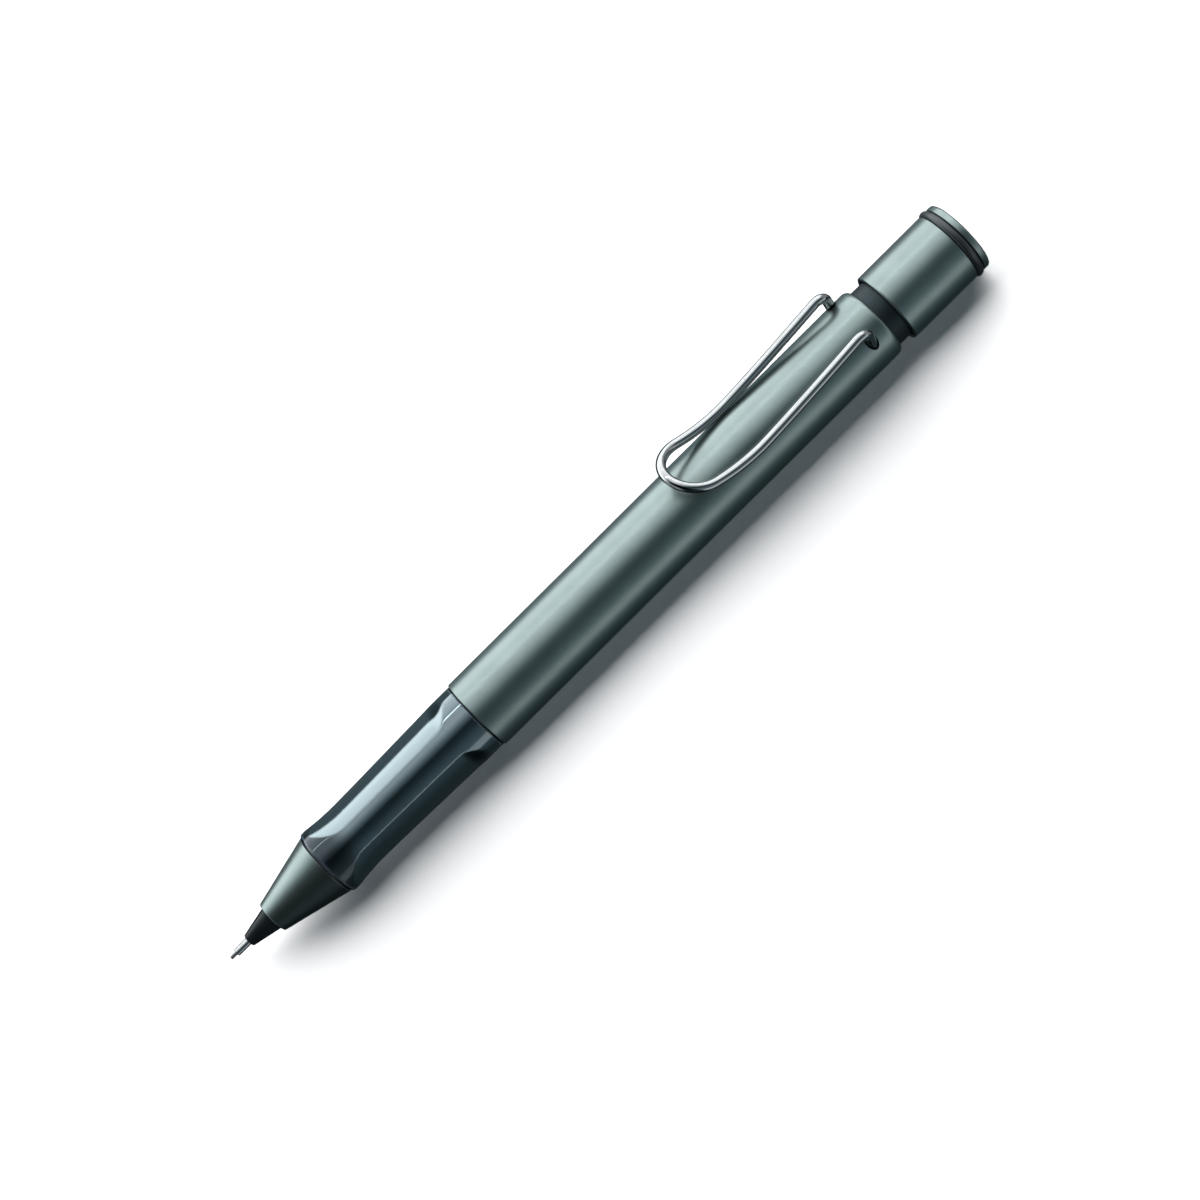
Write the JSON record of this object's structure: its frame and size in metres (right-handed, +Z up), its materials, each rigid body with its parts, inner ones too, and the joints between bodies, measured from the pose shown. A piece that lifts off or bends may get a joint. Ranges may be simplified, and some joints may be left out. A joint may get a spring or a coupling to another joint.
{
  "type": "lead holder",
  "caption": "Push-button drafting pencil for thin leads: round metal barrel, clear grip with finger flats, bent wire clip, push cap over an eraser.",
  "frame": {"origin": "middle of the bounding box in X and Y, at its lowest point in Z: the pencil lies on a table", "axes": "+X along the pencil from the point to the push cap, +Z up through the clip"},
  "size_m": [0.139, 0.0116, 0.0155],
  "materials": {
    "satin_metal": "satin graphite anodised",
    "chrome": "polished",
    "smoke_plastic": "clear smoke grey, polished",
    "gloss_black": "polished",
    "matt_black": "fine matt",
    "rubber": "smooth rubber",
    "steel": "fine drawn",
    "brass": "turned",
    "graphite": "fired graphite and polymer, soft sheen",
    "eraser_white": "chalky white rubber"
  },
  "bodies": {
    "holder": {"barrel": "satin_metal", "neck_collar": "matt_black", "grip_section": "smoke_plastic", "inner_sleeve": "matt_black", "nose_cone": "satin_metal", "tip_cone": "gloss_black", "lead_pipe": "steel", "lead_retainer": "rubber", "mechanism_housing": "matt_black", "chuck_spring": "steel"},
    "clip": {"clip": "chrome"},
    "push_rod": {"lead_magazine": "matt_black", "chuck_stem": "brass", "spare_lead_1": "graphite", "spare_lead_2": "graphite", "spare_lead_3": "graphite"},
    "clutch_ring": {"clutch_ring": "brass"},
    "jaw_1": {"chuck_jaw_1": "brass"},
    "jaw_2": {"chuck_jaw_2": "brass"},
    "jaw_3": {"chuck_jaw_3": "brass"},
    "lead": {"lead": "graphite"},
    "eraser_unit": {"eraser_holder": "steel", "eraser": "eraser_white", "cleaning_needle": "steel"},
    "cap": {"push_cap": "satin_metal", "cap_liner": "matt_black", "o_ring": "rubber", "end_disc": "satin_metal"}
  },
  "joints": [
    {"name": "clip_lift", "type": "hinge", "parent": "holder", "child": "clip", "pos_m": [0.05, 0, 0.0088], "axis": [0, 1, 0], "range_deg": [0, 4], "stiffness_Nm_per_rad": 1.4, "springref_deg": -1},
    {"name": "push", "type": "slide", "parent": "holder", "child": "push_rod", "axis": [-1, 0, 0], "range_m": [0, 0.0015], "stiffness_N_per_m": 1500, "springref_m": -0.002, "deforming": ["chuck_spring"]},
    {"name": "ring_slide", "type": "slide", "parent": "holder", "child": "clutch_ring", "axis": [-1, 0, 0], "range_m": [0, 0.0006]},
    {"name": "jaw_1_open", "type": "hinge", "parent": "push_rod", "child": "jaw_1", "pos_m": [-0.0475, 0, 0.0051], "axis": [0, -1, 0], "range_deg": [0, 1.2]},
    {"name": "jaw_2_open", "type": "hinge", "parent": "push_rod", "child": "jaw_2", "pos_m": [-0.0475, -0.00065, 0.00622], "axis": [0, 0.5, 0.866], "range_deg": [0, 1.2]},
    {"name": "jaw_3_open", "type": "hinge", "parent": "push_rod", "child": "jaw_3", "pos_m": [-0.0475, 0.00065, 0.00622], "axis": [0, 0.5, -0.866], "range_deg": [0, 1.2]},
    {"name": "lead_feed", "type": "slide", "parent": "clutch_ring", "child": "lead", "axis": [-1, 0, 0], "range_m": [-0.001, 0.009]},
    {"name": "eraser_pull", "type": "slide", "parent": "push_rod", "child": "eraser_unit", "axis": [1, 0, 0], "range_m": [0, 0.028]},
    {"name": "cap_pull", "type": "slide", "parent": "eraser_unit", "child": "cap", "axis": [1, 0, 0], "range_m": [0, 0.015]}
  ],
  "couplings": [
    {"joint": "ring_slide", "follows": "push", "ratio": 0.4},
    {"joint": "jaw_1_open", "follows": "push", "rad_per_m": 13.9},
    {"joint": "jaw_2_open", "follows": "push", "rad_per_m": 13.9},
    {"joint": "jaw_3_open", "follows": "push", "rad_per_m": 13.9}
  ]
}
